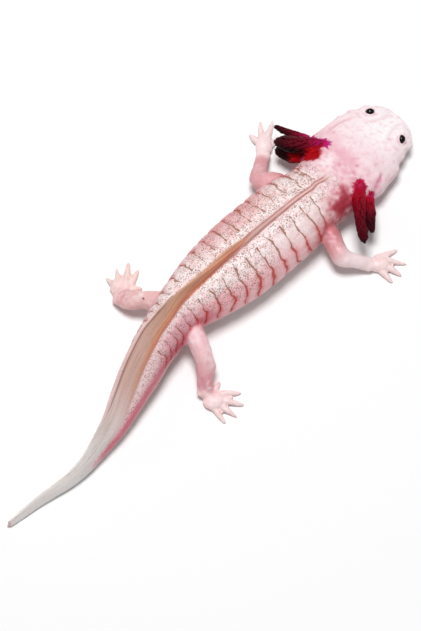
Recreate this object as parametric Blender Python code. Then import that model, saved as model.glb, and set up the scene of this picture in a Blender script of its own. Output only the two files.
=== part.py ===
"""A life-size moulded figure of a pale axolotl, standing on its four feet.

The body is one long loft along a curved spine, from the snout to the tip of the tail. It is parted
by thin cuts into head, neck, trunk and tail. The legs, gills, back ridge and tail fins are lofts of
their own, trimmed to the body with the same thin gap, and each foot is a palm with its toes.

The animal faces -Y, its left side is at +X, and it stands on the floor at z = 0.
Sizes in this file are in millimetres, and become metres where a mesh is made.
"""
import math

import bpy
import bmesh
from mathutils import Matrix, Vector

MM = 0.001

# ---- driving dimensions -------------------------------------------------------------------------
SNOUT_Y = -115.8            # front of the snout
TAIL_TIP_Y = 115.6          # end of the tail
HEAD_ROUNDING = 27.8        # length over which the head narrows to the snout
HEAD_HALF_WIDTH = 18.0      # half the width of the skull
MOUTH_Z = 6.6               # height of the mouth line at the snout
LIP_HEIGHT = 2.4            # upper lip above the mouth line
FOREHEAD_RISE = 9.1         # from the lip to the top of the skull
CHIN_DEPTH = 4.6            # mouth line to the underside of the jaw
TIP_ROUNDING = 1.5          # length of the rounded end of the tail
ROUND_TOP = 2.1             # powers of the body's section: 2 is an ellipse, more is squarer
ROUND_BOTTOM = 2.5
THIN_CUT = 0.3              # gap between neighbouring pieces
WELD = 0.000005             # points nearer than this, in metres, are one point
FLOOR_Z = 0.0

BODY_SIDES = 24             # facets round the body
LIMB_SIDES = 12
GILL_SIDES = 8
TOE_SIDES = 7
RING_STEP = 4.2             # spacing of the body's sections

EYE_RADIUS = 1.7
EYE_REACH = (8.7, -106.9, 11.4)      # sideways from the head's middle, along, up

# Where the body is parted, front to back.
NECK_Y = -77.0
SHOULDER_Y = -65.0
WAIST_Y = -22.0
VENT_Y = 16.0
TAIL_MIDDLE_Y = 48.0
TAIL_END_Y = 82.0
FIN_START_Y = 6.0
LOWER_FIN_Y = (24.0, 74.0)

# Keyed measures along the body: (distance along Y, value).
SPINE_X = [(-116, 2.9), (-88, 2.9), (-77, 1.7), (-69, 1.0), (-62, 1.3), (-50, 2.4), (-38, 3.1),
           (-20, 4.0), (-6, 4.9), (6, 5.2), (14, 4.3), (20, 3.2), (29, 1.3), (38, -2.0), (45, -5.0),
           (53, -8.3), (60, -10.6), (66, -11.6), (72, -12.4), (80, -13.0), (87, -12.4), (94, -10.9),
           (101, -9.4), (108, -8.4), (116, -7.1)]
HALF_WIDTH = [(-88, 18.0), (-84, 18.9), (-80, 18.2), (-75, 15.6), (-69, 14.7), (-62, 14.4),
              (-50, 16.4), (-38, 16.6), (-24, 16.6), (-10, 15.0), (0, 12.7), (8, 10.7), (14, 9.8),
              (20, 9.3), (29, 8.6), (38, 7.8), (45, 6.2), (53, 4.5), (60, 3.3), (72, 2.1), (87, 1.5),
              (101, 1.15), (116, 0.9)]
BACK_Z = [(-88, 18.3), (-77, 21.2), (-62, 24.2), (-45, 26.0), (-20, 26.6), (0, 26.0), (14, 24.8),
          (29, 22.0), (38, 19.5), (45, 17.0), (53, 13.8), (60, 11.2), (72, 8.1), (87, 5.6),
          (101, 3.9), (116, 2.2)]
FLANK_Z = [(-88, 8.0), (-77, 10.5), (-62, 12.0), (-20, 12.0), (14, 12.5), (29, 11.5), (45, 9.0),
           (60, 6.2), (80, 3.6), (101, 2.0), (116, 1.1)]
BELLY_Z = [(-88, 2.0), (-77, 2.6), (-62, 2.2), (-45, 1.4), (-20, 1.0), (0, 1.3), (14, 2.0),
           (29, 2.7), (45, 2.7), (60, 1.8), (80, 0.8), (94, 0.2), (101, -0.1), (116, -0.15)]

# The ridge of the back grows into the upper tail fin, which leans over to the left.
RIDGE_HEIGHT = [(-71, 0.7), (-62, 1.3), (-40, 1.9), (-10, 2.4), (0, 2.9), (8, 3.9), (20, 6.0),
                (29, 7.2), (38, 8.1), (46, 8.6), (55, 8.2), (64, 6.7), (74, 4.9), (85, 3.6),
                (101, 2.3), (116, 0.9)]
RIDGE_LEAN = [(-71, 0), (-12, 0), (0, 12), (10, 28), (22, 44), (60, 46), (85, 42), (116, 45)]
RIDGE_BASE = [(-71, 1.6), (-40, 2.2), (0, 3.2), (20, 3.8), (38, 3.4), (60, 2.4), (80, 1.6),
              (116, 1.0)]
RIDGE_EDGE = 0.9            # thickness at the free edge
LOWER_FIN_DEPTH = [(24, 0.7), (32, 1.9), (45, 2.0), (60, 1.2), (74, 0.5)]
LOWER_FIN_BASE = 1.6

PINK = (0.86, 0.58, 0.56)
CREAM = (0.88, 0.76, 0.70)
FIN_TAN = (0.62, 0.45, 0.36)
GILL_RED = (0.25, 0.01, 0.03)
EYE_BLACK = (0.01, 0.01, 0.01)


# ---- scene, collections and materials -----------------------------------------------------------
for leftover in list(bpy.data.objects):
    bpy.data.objects.remove(leftover, do_unlink=True)


def new_collection(name):
    collection = bpy.data.collections.new(name)
    bpy.context.scene.collection.children.link(collection)
    return collection


PARTS = new_collection("axolotl")
CUTTERS = new_collection("axolotl_cutters")


def paint(name, colour, roughness):
    material = bpy.data.materials.new(name)
    material.use_nodes = True
    shader = material.node_tree.nodes["Principled BSDF"]
    shader.inputs["Base Color"].default_value = (*colour, 1.0)
    shader.inputs["Roughness"].default_value = roughness
    shader.inputs["Metallic"].default_value = 0.0
    return material


# ---- curves through keyed values ----------------------------------------------------------------
def keyed(keys, at):
    """A smooth curve through the keyed values, flat beyond its ends."""
    if at <= keys[0][0]:
        return keys[0][1]
    if at >= keys[-1][0]:
        return keys[-1][1]
    last = len(keys) - 1
    i = max(k for k in range(last) if keys[k][0] <= at)
    (x0, v0), (x1, v1) = keys[i], keys[i + 1]

    def slope(k):
        before, after = keys[max(k - 1, 0)], keys[min(k + 1, last)]
        return (after[1] - before[1]) / (after[0] - before[0])

    span = x1 - x0
    t = (at - x0) / span
    return ((2 * t ** 3 - 3 * t ** 2 + 1) * v0 + (t ** 3 - 2 * t ** 2 + t) * span * slope(i)
            + (3 * t ** 2 - 2 * t ** 3) * v1 + (t ** 3 - t ** 2) * span * slope(i + 1))


def path_point(points, t):
    """A point of the smooth path through points, t from 0 to len(points) - 1."""
    return Vector([keyed([(k, p[axis]) for k, p in enumerate(points)], t) for axis in range(3)])


def path_direction(points, t):
    step = 0.02
    return (path_point(points, min(t + step, len(points) - 1))
            - path_point(points, max(t - step, 0))).normalized()


# ---- the body's form ----------------------------------------------------------------------------
def body_size(y):
    """Half width, back, flank and belly height of the body at y."""
    half, back = keyed(HALF_WIDTH, y), keyed(BACK_Z, y)
    flank, belly = keyed(FLANK_Z, y), keyed(BELLY_Z, y)
    front = SNOUT_Y + HEAD_ROUNDING
    if y < front:
        u = min((front - y) / HEAD_ROUNDING, 0.9995)
        half = HEAD_HALF_WIDTH * (1 - u ** 2.2) ** (1 / 2.3)
        lip = LIP_HEIGHT * math.sqrt(1 - u ** 8)
        forehead = FOREHEAD_RISE * (1 - u) ** 1.1
        flank = MOUTH_Z + (keyed(FLANK_Z, front) - MOUTH_Z) * (1 - u)
        back = MOUTH_Z + 0.2 + lip + forehead
        belly = MOUTH_Z - CHIN_DEPTH * math.sqrt(1 - u ** 5)
    if y > TAIL_TIP_Y - TIP_ROUNDING:
        end = math.sqrt(max(1 - ((y - TAIL_TIP_Y) / TIP_ROUNDING + 1) ** 2, 0.04))
        half *= end
        back = flank + (back - flank) * end
        belly = flank - (flank - belly) * end
    return half, back, flank, belly


def body_frame(y):
    """A point on the spine's line in plan, and the sideways direction to the animal's left."""
    step = 0.5
    along = Vector((keyed(SPINE_X, y + step) - keyed(SPINE_X, y - step), 2 * step, 0)).normalized()
    return Vector((keyed(SPINE_X, y), y, 0)), Vector((along.y, -along.x, 0))


def eye_bump(side, y):
    """Extra height of the two mounds that carry the eyes."""
    reach, eye_y, _ = EYE_REACH
    across = (abs(side) - reach + 1.1) / 3.0
    along = (y - eye_y) / 4.4
    return 1.2 * math.exp(-across * across - along * along)


def body_ring(y, grow=0.0):
    """The body's section at y: a superellipse, fuller below than above."""
    middle, left = body_frame(y)
    half, back, flank, belly = body_size(y)
    round_top = ROUND_TOP + 0.3 * max(0.0, min(1.0, (-80 - y) / 12))
    ring = []
    for k in range(BODY_SIDES):
        angle = 2 * math.pi * k / BODY_SIDES
        c, s = math.cos(angle), math.sin(angle)
        power = 2 / (round_top if s >= 0 else ROUND_BOTTOM)
        side = math.copysign(abs(c) ** power, c) * (half + grow)
        height = back - flank if s >= 0 else flank - belly
        z = flank + math.copysign(abs(s) ** power, s) * (height + grow)
        if s > 0 and y < -90:
            z += eye_bump(side, y)
        point = middle + left * side + Vector((0, 0, z))
        point.z = max(point.z, FLOOR_Z - grow)
        ring.append(point)
    return ring


def body_top(y, side):
    """Height of the back at a distance sideways from the spine."""
    half, back, flank, _ = body_size(y)
    ratio = min(abs(side) / half, 1)
    return flank + (back - flank) * (1 - ratio ** ROUND_TOP) ** (1 / ROUND_TOP)


def body_bottom(y, side):
    half, _, flank, belly = body_size(y)
    ratio = min(abs(side) / half, 1)
    return flank - (flank - belly) * (1 - ratio ** ROUND_BOTTOM) ** (1 / ROUND_BOTTOM)


def stations(start, stop):
    """Section places between two cuts, closer together where the snout and the tip round off."""
    count = max(2, round((stop - start) / RING_STEP))
    places = [start + (stop - start) * k / count for k in range(count + 1)]
    for close in (0.05, 0.35, 1.0, 2.0, 3.4, 5.4, 7.6):
        for end in (SNOUT_Y + close, TAIL_TIP_Y - close * 0.3):
            if start < end < stop:
                places.append(end)
    places = sorted(places)
    kept = [places[0]]
    for place in places[1:]:
        apart = 0.2 if place < SNOUT_Y + 4 else 0.5 if place > TAIL_TIP_Y - 2 else 1.2
        if place - kept[-1] > apart:
            kept.append(place)
    kept[-1] = stop
    return kept


# ---- meshes -------------------------------------------------------------------------------------
def loft(name, rings, material, collection=None):
    """A closed body through rings of like point counts, with a flat face at each end."""
    bm = bmesh.new()
    rows = [[bm.verts.new(Vector(p) * MM) for p in ring] for ring in rings]
    for low, high in zip(rows, rows[1:]):
        for k in range(len(low)):
            n = (k + 1) % len(low)
            bm.faces.new((low[k], low[n], high[n], high[k]))
    bm.faces.new(list(reversed(rows[0])))
    bm.faces.new(rows[-1])
    bmesh.ops.recalc_face_normals(bm, faces=bm.faces)
    return finish(name, bm, material, collection)


def finish(name, bm, material, collection=None):
    mesh = bpy.data.meshes.new(name)
    bm.to_mesh(mesh)
    bm.free()
    if material:
        mesh.materials.append(material)
    mesh.shade_smooth()
    mesh.set_sharp_from_angle(angle=math.radians(40))
    piece = bpy.data.objects.new(name, mesh)
    (collection or PARTS).objects.link(piece)
    return piece


def cutter(name, rings):
    piece = loft(name, rings, None, CUTTERS)
    piece.hide_render = True
    piece.display_type = "WIRE"
    return piece


def boolean(piece, tool, operation):
    """Applies one Boolean of a cutter to a piece, and clears slivers that it leaves."""
    modifier = piece.modifiers.new(operation.lower(), "BOOLEAN")
    modifier.operation = operation
    modifier.object = tool
    graph = bpy.context.evaluated_depsgraph_get()
    mesh = bpy.data.meshes.new_from_object(piece.evaluated_get(graph))
    piece.modifiers.clear()
    bm = bmesh.new()
    bm.from_mesh(mesh)
    bmesh.ops.remove_doubles(bm, verts=bm.verts, dist=WELD)
    bm.to_mesh(mesh)
    bm.free()
    piece.data = mesh


# ---- body pieces --------------------------------------------------------------------------------
def body_piece(name, start, stop, material):
    """The part of the body between two cuts."""
    return loft(name, [body_ring(y) for y in stations(start, stop)], material)


def jaw_wedge(name, gap):
    """The room of the lower jaw, seen from the side: under the mouth line, rising at its corner."""
    corner_y, throat_y, reach = -97.0, -92.0, 30.0
    mouth = [(-118.0, MOUTH_Z + 0.2), (-112.0, MOUTH_Z - 0.2), (-106.0, MOUTH_Z - 0.2),
             (-101.0, MOUTH_Z + 0.4), (corner_y, MOUTH_Z + 1.2)]
    outline = [(y, z + gap) for y, z in mouth]
    outline += [(corner_y + 0.8 + gap, MOUTH_Z + 0.6 + gap), (throat_y + gap, -2.0), (-118.0, -2.0)]
    rings = [[(x, y, z) for y, z in outline] for x in (-reach, reach)]
    return cutter(name, rings)


def eye_centre(left_or_right):
    reach, y, z = EYE_REACH
    return Vector((keyed(SPINE_X, y) + left_or_right * reach, y, z))


def ball(name, centre, radius, material, collection=None):
    bm = bmesh.new()
    bmesh.ops.create_uvsphere(bm, u_segments=12, v_segments=8, radius=radius * MM)
    bmesh.ops.translate(bm, verts=bm.verts, vec=centre * MM)
    return finish(name, bm, material, collection)


def build_head(material, eye_material):
    head = body_piece("head", SNOUT_Y, NECK_Y - THIN_CUT / 2, material)
    jaw = body_piece("lower_jaw", SNOUT_Y, NECK_Y - THIN_CUT / 2, material)
    boolean(jaw, jaw_wedge("jaw_room", 0.0), "INTERSECT")
    boolean(head, jaw_wedge("jaw_room_grown", THIN_CUT), "DIFFERENCE")
    for side, name in ((1, "left"), (-1, "right")):
        centre = eye_centre(side)
        socket = ball("socket_" + name, centre, EYE_RADIUS + THIN_CUT, None, CUTTERS)
        socket.hide_render = True
        socket.display_type = "WIRE"
        boolean(head, socket, "DIFFERENCE")
        ball("eye_" + name, centre, EYE_RADIUS, eye_material)


def build_trunk(material):
    cuts = [("neck", NECK_Y, SHOULDER_Y), ("trunk_front", SHOULDER_Y, WAIST_Y),
            ("trunk_rear", WAIST_Y, VENT_Y), ("tail_base", VENT_Y, TAIL_MIDDLE_Y),
            ("tail_middle", TAIL_MIDDLE_Y, TAIL_END_Y)]
    for name, start, stop in cuts:
        body_piece(name, start + THIN_CUT / 2, stop - THIN_CUT / 2, material)
    body_piece("tail_tip", TAIL_END_Y + THIN_CUT / 2, TAIL_TIP_Y, material)


# ---- back ridge and fins ------------------------------------------------------------------------
def ridge_ring(y):
    """The ridge or fin standing on the back, leaning to the left, with a rounded edge."""
    middle, left = body_frame(y)
    height, lean = keyed(RIDGE_HEIGHT, y), math.radians(keyed(RIDGE_LEAN, y))
    base = min(keyed(RIDGE_BASE, y), 1.5 * keyed(HALF_WIDTH, y))
    edge = min(RIDGE_EDGE, base)
    root_z = body_top(y, 0) + THIN_CUT
    up = Vector((0, 0, math.cos(lean))) + left * math.sin(lean)
    across = left * math.cos(lean) - Vector((0, 0, math.sin(lean)))

    def foot(side):
        return middle + left * side + Vector((0, 0, body_top(y, side) + THIN_CUT))

    def blade(rise, thickness):
        return middle + Vector((0, 0, root_z)) + up * height * rise + across * thickness / 2

    waist = edge + (base - edge) * 0.25
    return [foot(-base / 2), foot(0), foot(base / 2), blade(0.45, waist), blade(0.9, edge),
            blade(1.0, edge * 0.3), blade(1.0, -edge * 0.3), blade(0.9, -edge), blade(0.45, -waist)]


def lower_fin_ring(y):
    """The low fin under the tail muscle."""
    middle, left = body_frame(y)
    depth = keyed(LOWER_FIN_DEPTH, y)
    half_base = min(LOWER_FIN_BASE, keyed(HALF_WIDTH, y)) / 2
    ring = []
    for side in (half_base, 0, -half_base):
        ring.append(middle + left * side + Vector((0, 0, body_bottom(y, side) - THIN_CUT)))
    low = max(body_bottom(y, 0) - THIN_CUT - depth, FLOOR_Z)
    for side in (-0.35, 0.35):
        ring.append(middle + left * side + Vector((0, 0, low)))
    return ring


def even_places(start, stop, step):
    count = max(2, round((stop - start) / step))
    return [start + (stop - start) * k / count for k in range(count + 1)]


def build_fins(material):
    start, stop = RIDGE_HEIGHT[0][0], TAIL_TIP_Y - 0.8
    loft("back_ridge", [ridge_ring(y) for y in even_places(start, FIN_START_Y, 4.2)], material)
    loft("tail_fin_upper", [ridge_ring(y) for y in even_places(FIN_START_Y + THIN_CUT, stop, 3.8)],
         material)
    loft("tail_fin_lower", [lower_fin_ring(y) for y in even_places(*LOWER_FIN_Y, 5.0)], material)


# ---- limbs --------------------------------------------------------------------------------------
# Each leg runs through shoulder or hip, upper arm, elbow or knee, forearm and wrist or ankle.
# A radius pair is the half width level with the floor and the half width upright.
LEGS = {
    "front_left": {
        "path": [(9.5, -57.5, 11.5), (16.5, -57.0, 11.0), (22.5, -54.0, 9.8), (27.0, -58.5, 7.0),
                 (31.1, -64.5, 3.6)],
        "radii": [(4.6, 5.2), (4.4, 4.8), (3.65, 4.0), (3.3, 3.0), (3.0, 1.9)],
        "palm": (34.8, -69.0, 1.9), "palm_half": 3.5,
        "toes": [((38.6, -68.6), (43.2, -68.8)), ((38.6, -71.3), (44.0, -76.2)),
                 ((36.4, -72.6), (40.6, -80.2)), ((33.2, -71.4), (33.6, -76.6))]},
    "front_right": {
        "path": [(-6.0, -57.5, 11.5), (-14.5, -56.0, 10.6), (-22.8, -53.2, 9.2),
                 (-27.4, -56.4, 6.8), (-31.3, -59.8, 3.6)],
        "radii": [(4.6, 5.2), (4.2, 4.8), (3.7, 4.0), (3.2, 2.9), (3.0, 1.9)],
        "palm": (-34.3, -63.8, 1.9), "palm_half": 3.5,
        "toes": [((-32.9, -67.2), (-35.2, -73.6)), ((-35.8, -67.6), (-41.8, -71.8)),
                 ((-37.9, -65.6), (-43.9, -66.9)), ((-37.3, -62.6), (-43.3, -62.3))]},
    "hind_left": {
        "path": [(8.5, 9.5, 12.5), (14.5, 12.7, 11.6), (19.6, 15.6, 9.6), (24.8, 18.8, 6.4),
                 (28.9, 18.9, 3.6)],
        "radii": [(5.4, 6.0), (4.2, 4.8), (3.6, 4.0), (4.2, 3.0), (4.2, 2.0)],
        "palm": (32.1, 16.1, 1.9), "palm_half": 4.3,
        "toes": [((34.4, 17.4), (39.3, 17.0)), ((34.4, 14.8), (39.2, 11.5)),
                 ((32.8, 12.2), (37.7, 6.3)), ((30.4, 11.6), (32.7, 5.7)),
                 ((28.2, 13.4), (26.0, 10.2))]},
    "hind_right": {
        "path": [(0.5, 10.5, 12.5), (-7.6, 13.1, 11.8), (-14.6, 16.1, 10.2), (-19.8, 20.6, 7.0),
                 (-23.3, 24.1, 3.6)],
        "radii": [(5.4, 6.0), (4.3, 4.9), (3.9, 4.2), (3.3, 3.0), (3.3, 1.9)],
        "palm": (-27.8, 23.9, 1.9), "palm_half": 4.0,
        "toes": [((-25.0, 20.4), (-23.9, 16.6)), ((-28.0, 19.6), (-33.1, 13.8)),
                 ((-30.4, 21.2), (-37.2, 16.7)), ((-31.1, 23.5), (-38.8, 22.1)),
                 ((-29.9, 26.0), (-37.3, 27.1))]},
}
ELBOW = 2                   # place of the elbow or knee in a leg's path
LEG_REACH = 19.0            # length of body, each way from a leg's root, that trims the leg
PALM_HALF_HIGH = 2.2
TOE_HALF = (1.55, 0.85)     # half thickness of a toe at its root and near its tip


def tube_ring(centre, direction, half_wide, half_high, sides, flatten=False):
    """An ellipse square to a direction, its width kept level, cut off flat at the floor."""
    level = direction.cross(Vector((0, 0, 1))).normalized()
    upright = level.cross(direction).normalized()
    ring = []
    for k in range(sides):
        angle = 2 * math.pi * (k + 0.5) / sides
        point = (centre + level * math.cos(angle) * half_wide
                 + upright * math.sin(angle) * half_high)
        if flatten:
            point.z = max(point.z, FLOOR_Z)
        ring.append(point)
    return ring


def leg_rings(leg, start, stop, grow=0.0):
    """Rings of a leg between two places of its path, half a thin cut short of the elbow."""
    path = [Vector(p) for p in leg["path"]]
    wide = [(k, r[0] + grow) for k, r in enumerate(leg["radii"])]
    high = [(k, r[1] + grow) for k, r in enumerate(leg["radii"])]
    rings = []
    for t in even_places(start, stop, 0.36):
        centre, direction = path_point(path, t), path_direction(path, t)
        if t == ELBOW:
            centre += direction * THIN_CUT / 2 * (1 if start == ELBOW else -1)
        elif t == len(path) - 1:
            centre += direction * grow
        rings.append(tube_ring(centre, direction, keyed(wide, t), keyed(high, t), LIMB_SIDES))
    return rings


def toe(name, root, tip, material):
    """A toe: arched a little, thinner towards its rounded tip, flat where it meets the floor."""
    root, tip = Vector((*root, 1.25)), Vector((*tip, 0.55))
    direction = (tip - root).normalized()
    start = root - direction * 3.0
    rings = []
    for part, thick in ((0, 0.9), (0.35, 1.0), (0.68, 0.9), (0.92, 0.62), (1.0, 0.22)):
        centre = start.lerp(tip, part)
        centre.z += 0.35 * math.sin(math.pi * part)
        half = (TOE_HALF[0] + (TOE_HALF[1] - TOE_HALF[0]) * part) * thick
        rings.append(tube_ring(centre, direction, half, half, TOE_SIDES, flatten=True))
    return loft(name, rings, material, CUTTERS)


def wrist_rings(leg):
    """The short bend from the wrist into the palm. It starts inside the forearm."""
    path = [Vector(p) for p in leg["path"]]
    wide, high = leg["radii"][-1]
    last = len(path) - 1
    direction = path_direction(path, last)
    wrist, palm = path_point(path, last), Vector(leg["palm"])
    turned = direction.lerp((palm - wrist).normalized(), 0.6).normalized()
    return [tube_ring(wrist - direction, direction, wide, high, LIMB_SIDES),
            tube_ring(wrist + direction * 0.8, direction, wide, high, LIMB_SIDES),
            tube_ring(palm, turned, wide * 0.62, high * 0.6, LIMB_SIDES, flatten=True)]


def palm_pad(name, leg, material):
    """The palm or sole: a low round pad, flat on the floor."""
    palm = Vector(leg["palm"])
    roots = [Vector((*root, palm.z)) for root, _ in leg["toes"]]
    front = sum(roots, Vector()) / len(roots)
    heading = (front - palm).to_track_quat("Y", "Z").to_matrix().to_4x4()
    half_long = (front - palm).length + 2.2
    size = Matrix.Diagonal((leg["palm_half"], half_long, PALM_HALF_HIGH, 1))
    place = Matrix.Scale(MM, 4) @ Matrix.Translation(palm) @ heading @ size
    bm = bmesh.new()
    bmesh.ops.create_uvsphere(bm, u_segments=12, v_segments=7, radius=1.0, matrix=place)
    for vert in bm.verts:
        vert.co.z = max(vert.co.z, FLOOR_Z)
    return finish(name, bm, material, CUTTERS)


def build_leg(name, leg, material):
    along, elbow_to_wrist = leg["path"][0][1], (ELBOW, len(leg["path"]) - 1)
    body = cutter("body_at_" + name, [body_ring(y, THIN_CUT)
                                      for y in even_places(along - LEG_REACH, along + LEG_REACH,
                                                           RING_STEP)])
    forearm = cutter("forearm_at_" + name, leg_rings(leg, *elbow_to_wrist, grow=THIN_CUT))
    upper = loft(f"leg_{name}_upper", leg_rings(leg, 0, ELBOW), material)
    boolean(upper, body, "DIFFERENCE")
    loft(f"leg_{name}_lower", leg_rings(leg, *elbow_to_wrist), material)
    foot = loft(f"foot_{name}", wrist_rings(leg), material)
    boolean(foot, palm_pad("palm_" + name, leg, material), "UNION")
    for number, (root, tip) in enumerate(leg["toes"], start=1):
        boolean(foot, toe(f"toe_{name}_{number}", root, tip, material), "UNION")
    boolean(foot, forearm, "DIFFERENCE")
    for tool in CUTTERS.objects:
        tool.hide_render = True
        tool.display_type = "WIRE"


# ---- gills --------------------------------------------------------------------------------------
# Each stalk: points along its middle, and its half thickness at each of them.
GILLS = {
    "left_upper": ([(10.5, -82.5, 15.5), (14.5, -79.6, 16.6), (20.0, -74.2, 17.0),
                    (24.9, -71.0, 15.8), (29.0, -69.3, 14.2)], (2.3, 2.9, 3.2, 3.0, 1.7)),
    "left_middle": ([(13.0, -84.0, 12.5), (18.0, -81.8, 12.2), (25.0, -78.4, 11.8),
                     (30.4, -76.4, 11.4), (34.6, -75.1, 11.0)], (1.5, 1.7, 1.5, 1.2, 0.9)),
    "left_lower": ([(11.5, -79.0, 10.2), (14.8, -75.8, 10.0), (19.2, -73.0, 9.6),
                    (23.4, -70.6, 9.0), (27.6, -69.2, 8.4)], (2.6, 3.0, 3.0, 2.7, 1.5)),
    "right_upper": ([(-5.5, -81.0, 15.5), (-9.5, -77.4, 17.2), (-14.2, -72.4, 17.8),
                     (-19.6, -67.2, 17.2), (-24.0, -63.8, 16.0), (-27.3, -62.1, 14.6)],
                    (2.4, 2.7, 2.6, 1.8, 2.2, 1.0)),
    "right_middle": ([(-11.0, -81.5, 12.0), (-15.4, -78.2, 12.8), (-18.9, -74.0, 12.6),
                      (-22.0, -71.2, 12.0), (-24.9, -69.1, 11.2)], (1.6, 1.8, 1.9, 1.7, 1.1)),
    "right_lower": ([(-10.0, -80.5, 8.6), (-14.0, -77.0, 8.4), (-17.0, -73.2, 8.0),
                     (-19.4, -70.4, 7.4), (-21.6, -68.4, 7.0)], (1.6, 1.9, 2.0, 1.8, 1.0)),
}


def build_gills(material):
    head = cutter("head_at_gills",
                  [body_ring(y, THIN_CUT) for y in even_places(-98, -60, RING_STEP / 2)])
    for name, (points, halves) in GILLS.items():
        path = [Vector(p) for p in points]
        sizes = list(enumerate(halves))
        rings = []
        for t in even_places(0, len(path) - 1, 0.4):
            rings.append(tube_ring(path_point(path, t), path_direction(path, t),
                                   keyed(sizes, t), keyed(sizes, t), GILL_SIDES))
        tip, direction = path[-1], path_direction(path, len(path) - 1)
        rings.append(tube_ring(tip + direction * halves[-1] * 0.6, direction, halves[-1] * 0.5,
                               halves[-1] * 0.5, GILL_SIDES))
        stalk = loft("gill_" + name, rings, material)
        boolean(stalk, head, "DIFFERENCE")


# ---- assembly -----------------------------------------------------------------------------------
def centre_on_origin():
    """Puts the origin under the middle of the figure's box, on the floor."""
    bpy.context.view_layer.update()
    corners = [v.co for piece in PARTS.objects for v in piece.data.vertices]
    middle = Vector([-(min(c[a] for c in corners) + max(c[a] for c in corners)) / 2
                     for a in (0, 1)] + [0])
    for piece in list(PARTS.objects) + list(CUTTERS.objects):
        piece.data.transform(Matrix.Translation(middle))


skin = paint("painted vinyl, pink", PINK, 0.5)
back = paint("painted vinyl, cream", CREAM, 0.5)
fin = paint("painted vinyl, tan", FIN_TAN, 0.45)
gill = paint("painted vinyl, crimson", GILL_RED, 0.5)
eye = paint("gloss black paint", EYE_BLACK, 0.12)

build_head(skin, eye)
build_trunk(back)
build_fins(fin)
for leg_name, leg_sizes in LEGS.items():
    build_leg(leg_name, leg_sizes, skin)
build_gills(gill)
centre_on_origin()
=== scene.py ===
"""The looks of a life-size moulded figure of a pale axolotl, standing on its four feet.

The skin is shaped and painted in millimetres, and its mesh, the stage and the camera are in metres.
The head points along -Y and the animal's left side is at +X.
"""
import math

import bmesh
import bpy
import numpy as np
from mathutils import Matrix, Vector, noise
from mathutils.bvhtree import BVHTree


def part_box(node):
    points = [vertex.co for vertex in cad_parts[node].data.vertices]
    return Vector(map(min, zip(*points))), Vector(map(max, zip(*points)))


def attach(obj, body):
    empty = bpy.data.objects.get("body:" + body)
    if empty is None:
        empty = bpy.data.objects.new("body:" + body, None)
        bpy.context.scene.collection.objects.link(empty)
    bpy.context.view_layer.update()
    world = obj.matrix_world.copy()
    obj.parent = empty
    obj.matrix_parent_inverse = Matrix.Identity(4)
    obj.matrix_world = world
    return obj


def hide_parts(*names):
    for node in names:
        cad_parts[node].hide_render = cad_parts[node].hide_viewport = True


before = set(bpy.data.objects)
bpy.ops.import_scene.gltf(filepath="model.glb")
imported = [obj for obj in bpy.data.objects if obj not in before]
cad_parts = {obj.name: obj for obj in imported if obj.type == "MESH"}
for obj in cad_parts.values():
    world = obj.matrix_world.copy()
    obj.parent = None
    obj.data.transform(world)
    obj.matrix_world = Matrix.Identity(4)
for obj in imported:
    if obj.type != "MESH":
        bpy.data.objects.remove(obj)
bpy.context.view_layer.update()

# ---- the cast ----
# Body, legs, gills and fins are one casting of soft vinyl, with no parting line left on it.
# The parts of the frame are grown until their cuts close, then melted into one skin, smoothed
# and drawn back to size.
CAST_NODES = sorted(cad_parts)
GROWTH = 0.35  # closes the cuts between the parts
SHARPEST = 1.5  # a corner grows no more than so many times this
VOXEL = 0.63


def named(start):
    """The cast's nodes whose names start so."""
    return [name for name in CAST_NODES if name.startswith(start)]


def as_mesh(bm, name):
    """Turns a finished bmesh into a mesh."""
    mesh = bpy.data.meshes.new(name)
    bm.to_mesh(mesh)
    bm.free()
    return mesh


def put_in_scene(name, data):
    """A new object for a mesh, a lamp or a camera."""
    thing = bpy.data.objects.new(name, data)
    bpy.context.scene.collection.objects.link(thing)
    return thing


def cast_parts():
    """All parts of the frame in one mesh, each grown by the same amount."""
    together = bmesh.new()
    for name in CAST_NODES:
        part = bmesh.new()
        part.from_mesh(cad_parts[name].data)
        bmesh.ops.remove_doubles(part, verts=part.verts, dist=0.000001)
        part.normal_update()
        for vert in part.verts:
            vert.co += vert.normal * (GROWTH / 1000 * min(vert.calc_shell_factor(), SHARPEST))
        grown = as_mesh(part, name + "_grown")
        together.from_mesh(grown)
        bpy.data.meshes.remove(grown)
    return together


def melt(together):
    """One closed skin round everything in the mesh."""
    lump = put_in_scene("lump", as_mesh(together, "lump"))
    remesh = lump.modifiers.new("one skin", "REMESH")
    remesh.mode = "VOXEL"
    remesh.voxel_size = VOXEL / 1000
    graph = bpy.context.evaluated_depsgraph_get()
    mesh = bpy.data.meshes.new_from_object(lump.evaluated_get(graph))
    bpy.data.objects.remove(lump)
    return mesh


skin_mesh = melt(cast_parts())
skin_mesh.name = "skin"

# The skin is finer round the eyes, on the hands and feet, and at the small round mark that the
# mould left on the left hind leg, beside a small knob.
EYES = {side: sum(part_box("eye_" + side), Vector()) * 500 for side in ("left", "right")}
FOOT_BOXES = [[corner * 1000 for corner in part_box(name)] for name in named("foot_")]
FOOT_MARGIN = 0.3
MOULD_MARK = Vector((18.5, 16.5, 14.1))
MOULD_KNOB = Vector((20.6, 16.0, 14.0))


def on_foot(point):
    """Whether a point lies in the box of a hand or foot."""
    return any(all(low[a] - FOOT_MARGIN < point[a] < high[a] + FOOT_MARGIN for a in range(3))
               for low, high in FOOT_BOXES)


def eye_gap(point):
    """How far a point lies from the middle of the nearer eye."""
    return min((point - eye).length for eye in EYES.values())


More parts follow.
